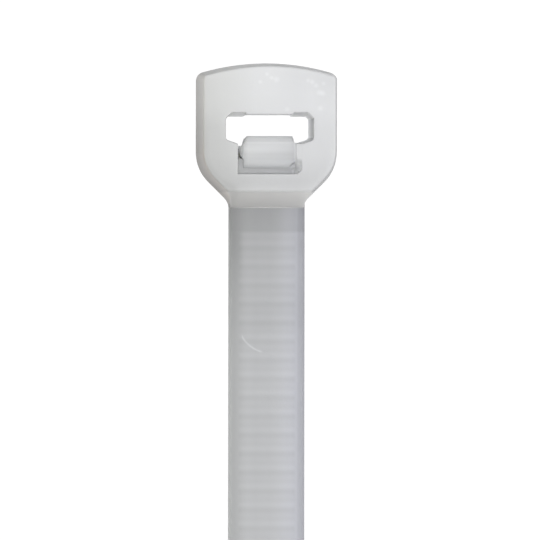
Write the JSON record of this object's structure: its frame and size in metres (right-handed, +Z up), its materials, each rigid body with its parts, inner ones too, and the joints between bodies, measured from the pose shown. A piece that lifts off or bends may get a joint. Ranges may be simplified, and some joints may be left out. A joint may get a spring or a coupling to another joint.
{
  "type": "miniature cable tie",
  "caption": "Self-locking miniature nylon cable tie: slotted head with a toothed pawl, narrow strap with a ratchet rack between side rails, and a tapered tail.",
  "frame": {"origin": "on the surface the tie lies on, at the middle of its length and width", "axes": "+Y along the strap from the tail tip to the far end of the head, +Z up from the toothed side to the smooth side and out of the slot, +X across the strap"},
  "size_m": [0.0048, 0.1, 0.0033],
  "materials": {
    "natural_nylon": "satin"
  },
  "bodies": {
    "root": {"cable_tie": "natural_nylon"}
  },
  "joints": []
}
